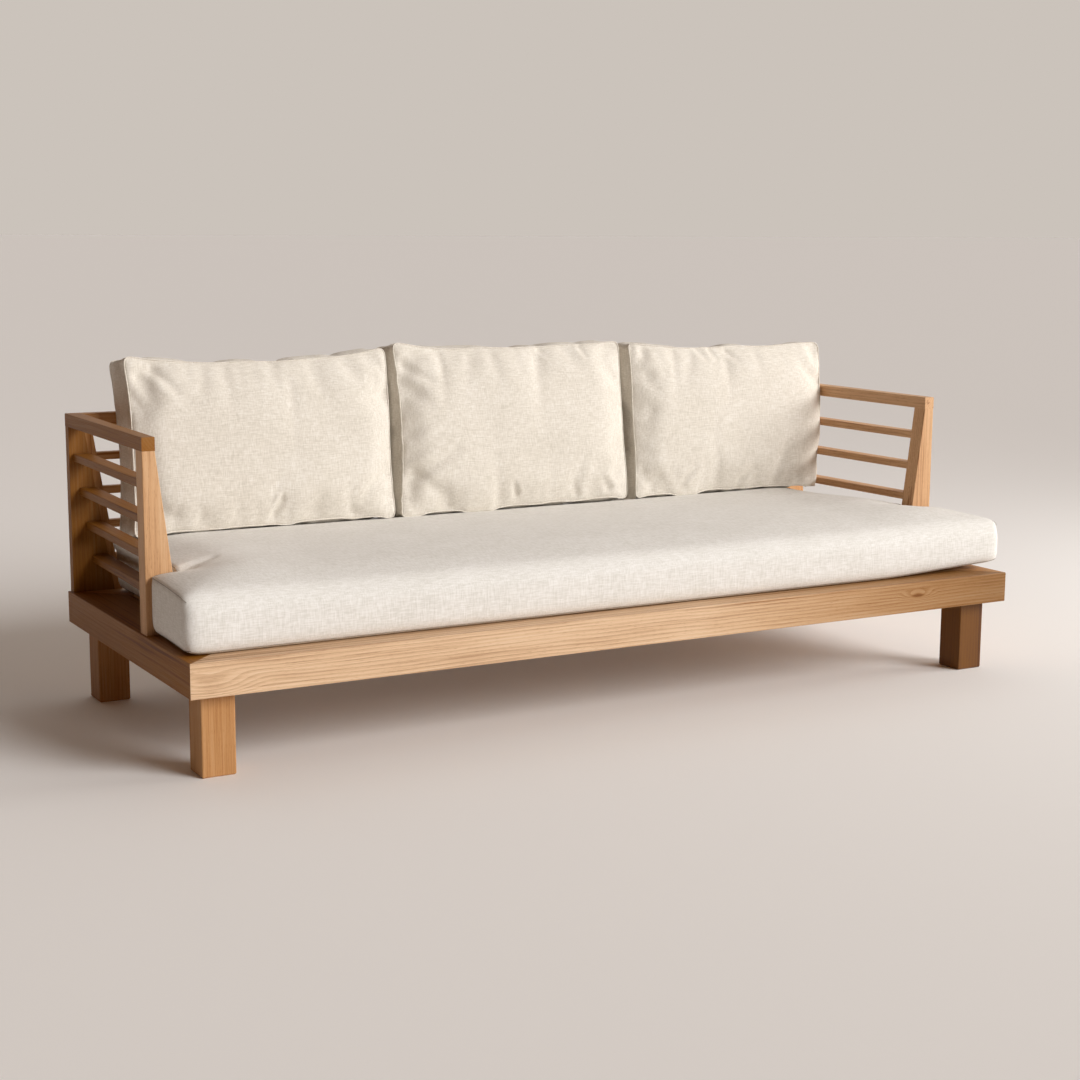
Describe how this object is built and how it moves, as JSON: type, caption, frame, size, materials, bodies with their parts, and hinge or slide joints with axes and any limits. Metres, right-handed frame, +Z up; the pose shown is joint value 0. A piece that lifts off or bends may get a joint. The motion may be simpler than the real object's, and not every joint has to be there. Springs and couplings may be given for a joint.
{
  "type": "daybed",
  "caption": "Teak platform daybed with block legs, slatted arms and back, a long seat cushion and loose back cushions in linen covers.",
  "frame": {"origin": "on the floor under the middle of the platform", "axes": "+X along the length, +Y to the back, +Z up"},
  "size_m": [2.33, 0.93, 0.866],
  "materials": {
    "teak": "sanded, oiled, satin",
    "deck_teak": "planed, matte",
    "beech_joinery": "planed, matte",
    "stainless_steel": "rolled thread, satin",
    "seat_linen": "plain weave, cool off-white",
    "back_linen": "plain weave, warm beige",
    "foam": "open-cell foam",
    "fibre_fill": "fibre-wrapped foam"
  },
  "bodies": {
    "frame": {"front_beam": "teak", "rear_beam": "teak", "left_beam": "teak", "right_beam": "teak", "front_left_leg": "teak", "front_right_leg": "teak", "rear_left_leg": "teak", "rear_right_leg": "teak", "left_front_post": "teak", "right_front_post": "teak", "left_rear_post": "teak", "right_rear_post": "teak", "left_arm_rail": "teak", "right_arm_rail": "teak", "back_rail": "teak", "left_end_stile": "teak", "right_end_stile": "teak", "left_back_post": "teak", "right_back_post": "teak", "left_arm_slat_1": "teak", "left_arm_slat_2": "teak", "left_arm_slat_3": "teak", "left_arm_slat_4": "teak", "right_arm_slat_1": "teak", "right_arm_slat_2": "teak", "right_arm_slat_3": "teak", "right_arm_slat_4": "teak", "back_slat_1": "teak", "back_slat_2": "teak", "back_slat_3": "teak", "back_slat_4": "teak", "front_ledger": "deck_teak", "rear_ledger": "deck_teak", "left_cross_rail": "deck_teak", "right_cross_rail": "deck_teak", "deck_slat_01": "deck_teak", "deck_slat_02": "deck_teak", "deck_slat_03": "deck_teak", "deck_slat_04": "deck_teak", "deck_slat_05": "deck_teak", "deck_slat_06": "deck_teak", "deck_slat_07": "deck_teak", "deck_slat_08": "deck_teak", "deck_slat_09": "deck_teak", "deck_slat_10": "deck_teak", "deck_slat_11": "deck_teak", "corner_keys": "beech_joinery", "rail_dowels": "beech_joinery", "leg_bolts": "stainless_steel", "ledger_screws": "stainless_steel", "deck_screws": "stainless_steel"},
    "seat_cushion": {"seat_cover": "seat_linen", "seat_core_front": "foam", "seat_core_rear": "foam"},
    "back_cushion_left": {"back_cover_left": "back_linen", "back_core_left": "fibre_fill"},
    "back_cushion_middle": {"back_cover_middle": "back_linen", "back_core_middle": "fibre_fill"},
    "back_cushion_right": {"back_cover_right": "back_linen", "back_core_right": "fibre_fill"}
  },
  "joints": [
    {"name": "seat_lift", "type": "slide", "parent": "frame", "child": "seat_cushion", "axis": [0, 0, 1], "range_m": [0, 0.48]},
    {"name": "back_cushion_left_lift", "type": "slide", "parent": "seat_cushion", "child": "back_cushion_left", "axis": [0, 0, 1], "range_m": [0, 0.36]},
    {"name": "back_cushion_middle_lift", "type": "slide", "parent": "seat_cushion", "child": "back_cushion_middle", "axis": [0, 0, 1], "range_m": [0, 0.36]},
    {"name": "back_cushion_right_lift", "type": "slide", "parent": "seat_cushion", "child": "back_cushion_right", "axis": [0, 0, 1], "range_m": [0, 0.36]}
  ]
}
